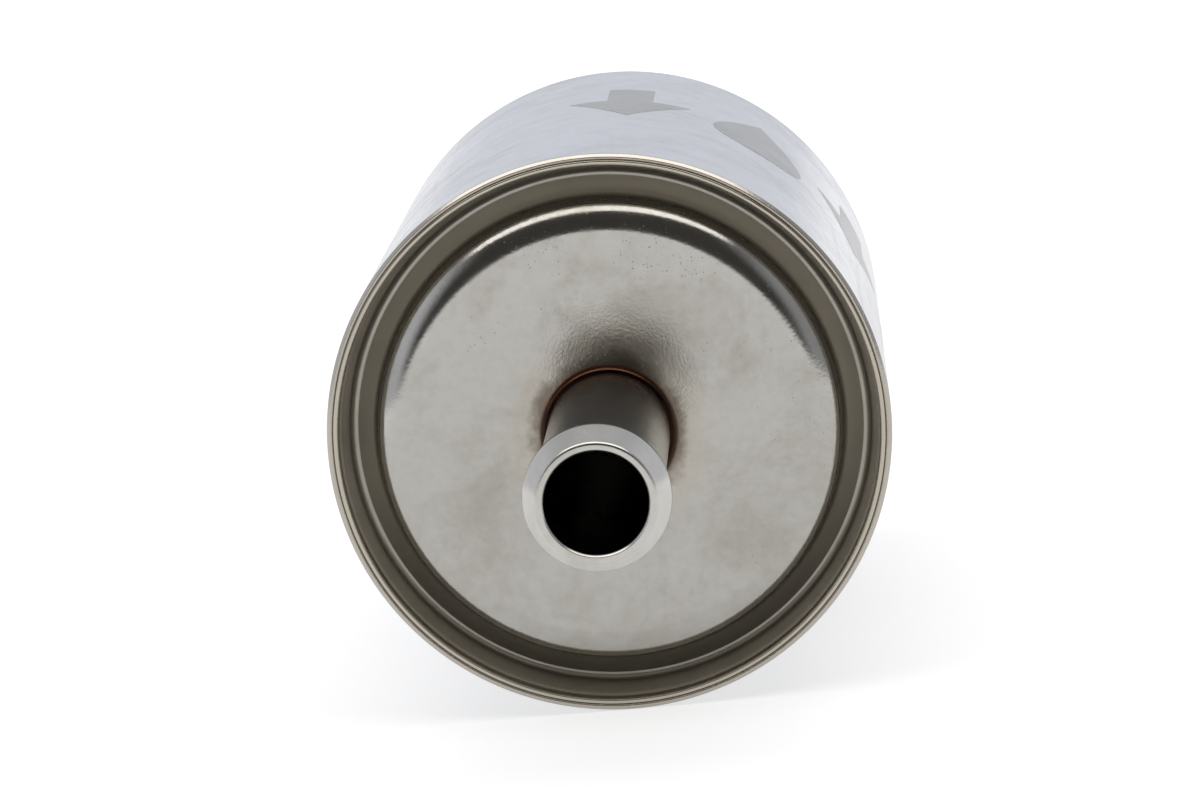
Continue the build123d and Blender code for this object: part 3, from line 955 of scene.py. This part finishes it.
@dataclass
class PressureSpring:
    """The coil spring behind the cartridge: closed coils at both ends, ground flat.

    Args:
        low: Place of the end on the spring seat along Y, in metres.
        high: Place of the end on the can along Y, in metres.
        reach: Outer radius in metres.
        travel: How far the cartridge pushes it together, in metres; not used.
    """

    low: float
    high: float
    reach: float
    travel: float
    wire: float = 1.0 * MM
    turns: float = 4.5
    sharpness: float = 0.62

    def build(self) -> None:
        """Coil the wire."""
        repeat = Repeat("pressure_spring_coil", {
            "Coil Radius": self.reach - self.wire / 2, "Wire Radius": self.wire / 2, "Turns": self.turns,
            "Low": self.low, "High": self.high})
        size = repeat.size
        path = repeat.node("GeometryNodeCurveSpiral", {
            "Resolution": 48, "Rotations": size["Turns"], "Start Radius": size["Coil Radius"],
            "End Radius": size["Coil Radius"], "Height": 0.0})
        share = repeat.node("GeometryNodeSplineParameter").outputs["Factor"]
        slow = repeat.remap(share, 0.0, 1.0)
        rise = repeat.sum("ADD", repeat.sum("MULTIPLY", slow, self.sharpness),
                          repeat.sum("MULTIPLY", share, 1.0 - self.sharpness))
        here = repeat.here()
        ground = repeat.sum("MULTIPLY", size["Wire Radius"], 0.5)
        first, last = repeat.sum("ADD", size["Low"], ground), repeat.sum("SUBTRACT", size["High"], ground)
        level = repeat.between(rise, first, last)
        turn = repeat.sum("MULTIPLY", here[1], -1.0)
        coil = repeat.moved(path.outputs[0], repeat.point(here[0], level, turn))
        wire = repeat.wire(coil, repeat.ring(14, size["Wire Radius"]))
        skin = repeat.here()
        held = repeat.node("ShaderNodeClamp", {0: skin[1], 1: size["Low"], 2: size["High"]}).outputs[0]
        flat = repeat.moved(wire, repeat.point(skin[0], held, skin[2]))
        piece = repeat.run(flat, finish_named("spring_steel"))
        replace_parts(piece, "pressure_spring")
        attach(piece, Body.HOUSING.value)
        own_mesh(piece)


@dataclass
class StrainerSleeve:
    """The woven strainer inside the core tube, drawn with a coarser weave than the real one, which is too
    fine to show.

    Args:
        low: Place of the sleeve's outlet end along Y, in metres.
        high: Place of its other end along Y, in metres.
        inner: Inner radius in metres.
        outer: Outer radius in metres.
    """

    low: float
    high: float
    inner: float
    outer: float
    strands: int = 36
    steps: int = 4

    def build(self) -> None:
        """Weave the sleeve from straight strands and hoops."""
        wall = self.outer - self.inner
        hoops = 2 * round((self.high - self.low) / (2 * math.pi * self.inner / self.strands) / 2)
        repeat = Repeat("strainer_weave", {
            "Middle Radius": (self.inner + self.outer) / 2, "Wave": wall * 0.22, "Strand Radius": wall * 0.25,
            "Strands": self.strands, "Hoops": hoops, "Low": self.low, "High": self.high})
        size = repeat.size
        section = repeat.ring(4, size["Strand Radius"])
        woven = [self.strand_set(repeat, section, hoop) for hoop in (False, True)]
        joined = repeat.node("GeometryNodeJoinGeometry")
        for strands in woven:
            repeat.tree.links.new(strands, joined.inputs[0])
        piece = repeat.run(joined.outputs[0], finish_named("strainer_mesh"))
        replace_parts(piece, "strainer_sleeve")
        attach(piece, Body.CARTRIDGE.value)

    def strand_set(self, repeat: Repeat, section: Socket, hoop: bool) -> Socket:
        """Make the straight strands, or the hoops that pass over and under them.

        Args:
            repeat: The tree being built.
            section: The strand's own outline.
            hoop: True for the hoops.

        Returns:
            The mesh of that set.
        """
        size = repeat.size
        count, crossed = (size["Hoops"], size["Strands"]) if hoop else (size["Strands"], size["Hoops"])
        points = repeat.sum("MULTIPLY_ADD", crossed, float(self.steps), 0.0 if hoop else 1.0)
        if hoop:
            base = repeat.node("GeometryNodeCurvePrimitiveCircle", {"Resolution": points, "Radius": 1.0})
        else:
            line = repeat.node("GeometryNodeCurvePrimitiveLine", {"End": (1.0, 0.0, 0.0)})
            base = repeat.node("GeometryNodeResampleCurve", {"Curve": line.outputs[0], "Count": points})
        copies = repeat.node("GeometryNodeDuplicateElements", {"Geometry": base.outputs[0], "Amount": count},
                             domain="SPLINE")
        number = copies.outputs["Duplicate Index"]
        spot = repeat.node("GeometryNodeInputIndex").outputs[0]
        inside = repeat.sum("MODULO", spot, points)
        run = repeat.sum("DIVIDE", inside, repeat.sum("SUBTRACT", points, 0.0 if hoop else 1.0))
        across = repeat.sum("DIVIDE", repeat.sum("ADD", number, 0.5), count)
        round_share, along_share = (run, across) if hoop else (across, run)
        turn = repeat.sum("MULTIPLY", round_share, 2 * math.pi)
        level = repeat.between(along_share, size["Low"], size["High"])
        phase = repeat.sum("MULTIPLY", repeat.sum("MULTIPLY", run, crossed), math.pi)
        flip = repeat.sum("MULTIPLY", number, math.pi)
        sway = repeat.sum("SINE", repeat.sum("ADD", phase, repeat.sum("ADD", flip, 0.0 if hoop else math.pi)))
        reach = repeat.sum("MULTIPLY_ADD", sway, size["Wave"], size["Middle Radius"])
        place = repeat.around(turn, reach, level)
        return repeat.wire(repeat.moved(copies.outputs[0], place), section)


# ---- studio ----
@dataclass
class Studio:
    """Pale floor, soft overhead light and a camera that looks at the outlet end.

    Args:
        floor_height: Height of the floor in the frame, in metres.
        rim_place: Distance of the rim plane along Y, in metres.
        camera_ahead_mm: Distance of the camera in front of the rim plane.
        camera_up_mm: Height of the camera above the can's axis.
        camera_side_mm: Distance of the camera to the right of the axis.
        pan: Turn of the camera about the upright, in radians.
        tilt: Turn of the camera about its own right hand, in radians.
        roll: Turn of the camera about its line of sight, in radians.
        lens_mm: Focal length on a 36 mm wide sensor.
    """

    floor_height: float
    rim_place: float
    camera_ahead_mm: float = 308.0
    camera_up_mm: float = 56.9
    camera_side_mm: float = 16.3
    pan: float = 0.054
    tilt: float = -0.175
    roll: float = 0.098
    lens_mm: float = 144.0

    def build(self) -> None:
        """Put up the camera, the floor, the light and the surroundings."""
        self.camera()
        self.floor()
        self.light()
        self.surroundings()

    def camera(self) -> None:
        """Place the camera and make it the scene's own."""
        data = bpy.data.cameras.new("camera")
        data.lens = self.lens_mm
        data.sensor_width = SENSOR_MM
        data.clip_start = 0.01
        camera = placed("camera", data)
        turn = Matrix.Rotation(self.pan, 4, "Z") @ Matrix.Rotation(self.tilt, 4, "X")
        turn = turn @ Matrix.Rotation(self.roll, 4, "Y") @ Matrix.Rotation(math.pi / 2, 4, "X")
        spot = Vector((self.camera_side_mm, 0.0, self.camera_up_mm)) * MM
        spot.y = self.rim_place - self.camera_ahead_mm * MM
        camera.matrix_world = Matrix.Translation(spot) @ turn
        bpy.context.scene.camera = camera

    def floor(self) -> None:
        """Lay a plain white floor under the can."""
        mesh = bpy.data.meshes.new("studio_floor")
        corners = [(-1, -1), (1, -1), (1, 1), (-1, 1)]
        mesh.from_pydata([(x * FLOOR_HALF, y * FLOOR_HALF, self.floor_height) for x, y in corners], [],
                         [(0, 1, 2, 3)])
        shade = Shader("white_paper_floor")
        # A light table: its own glow grows away from the can, so that the sweep stays white to the horizon.
        glow = shade.remap(shade.length(shade.place), 0.05, 0.6, 0.60, 0.95)
        bsdf = shade.node("ShaderNodeBsdfPrincipled", {
            "Base Color": linear("#BCBCBC"), "Roughness": 0.75, "Specular IOR Level": 0.25,
            "Emission Color": linear("#FFFFFF"), "Emission Strength": glow})
        mesh.materials.append(shade.finish(bsdf))
        placed("studio_floor", mesh)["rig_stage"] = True

    def light(self) -> None:
        """Hang one large soft light overhead, a little in front of the can and facing it."""
        spot = Vector((0.0, -0.17, 0.75))
        data = bpy.data.lights.new("overhead_light", "AREA")
        data.shape = "RECTANGLE"
        data.size, data.size_y = 1.2, 0.6
        data.energy = 5.0
        data.color = linear("#FFFDFA")[:3]
        light = placed("overhead_light", data)
        light.location = spot
        light.rotation_euler = spot.to_track_quat("Z", "Y").to_euler()
        light.visible_camera = False

    def surroundings(self) -> None:
        """Make the room: pale behind and at the sides, dark in front and just under the overhead light."""
        world = bpy.data.worlds.new("studio_room")
        bpy.context.scene.world = world
        world.use_nodes = True
        room = Nodes()
        room.tree = world.node_tree
        room.tree.nodes.clear()
        ray = room.node("ShaderNodeTexCoord").outputs["Generated"]
        way = room.node("ShaderNodeSeparateXYZ", {0: ray}).outputs
        depth = room.remap(way["Y"], -0.35, 0.25)
        left = room.remap(way["X"], -0.45, -0.8)
        right = room.remap(way["X"], 0.45, 0.8, 0.0, 0.5)
        wall = room.sum("MAXIMUM", depth, room.sum("ADD", left, right))
        share = room.sum("MULTIPLY", wall, room.remap(way["Z"], 0.45, 0.75, 1.0, 0.7))
        colour = room.mix(share, linear("#4E4C49"), linear("#EBEEF6"))
        around = room.node("ShaderNodeBackground", {"Color": colour, "Strength": 1.0})
        plain = room.node("ShaderNodeBackground", {"Color": linear("#FFFFFF"), "Strength": 1.0})
        seen = room.node("ShaderNodeLightPath").outputs["Is Camera Ray"]
        both = room.node("ShaderNodeMixShader", {0: seen, 1: around.outputs[0], 2: plain.outputs[0]})
        room.node("ShaderNodeOutputWorld", {"Surface": both.outputs[0]})
        bpy.context.scene.view_settings.view_transform = "Standard"


def dress(frame: dict) -> None:
    """Give every frame node and every piece that stands for one its finish and its slot.

    Args:
        frame: The loaded frame.
    """
    slots = {entry["node"]: entry["material_slot"] for entry in frame["record"]["subparts"]}
    shared = {"tube_steel": "tube"}
    stand_ins = {name: piece for piece in bpy.data.objects for name in piece.get("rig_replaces", [])}
    for name, node in frame["nodes"].items():
        piece = stand_ins.get(name, node)
        finish = finish_named(name if name in FINISHES else shared.get(slots[name], slots[name]))
        piece.data.materials.clear()
        piece.data.materials.append(finish)
        LOG.info("%s wears %s", piece.name, finish.name)


def main() -> None:
    """Build the whole scene in order."""
    logging.basicConfig(level=logging.INFO, format="%(name)s: %(message)s")
    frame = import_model()
    frame_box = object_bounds()
    can_low, can_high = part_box("can_shell")
    Canister(radius=can_high.x / MM, length=(can_high.y - can_low.y) / MM, rim_place=can_low.y).build()
    FlowMarks(radius=can_high.x / MM, middle=can_low.y + MARKS_FROM_RIM_MM * MM).build()
    spring_low, spring_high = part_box("pressure_spring")
    travel = frame["joints"][0]["range_m"][1]
    PressureSpring(spring_low.y, spring_high.y, spring_high.x, travel).build()
    sleeve_low, sleeve_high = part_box("strainer_sleeve")
    StrainerSleeve(sleeve_low.y, sleeve_high.y, STRAINER_INNER_MM * MM, sleeve_high.x).build()
    dress(frame)
    Studio(floor_height=frame_box[0].z, rim_place=can_low.y).build()


if __name__ == "__main__":
    main()
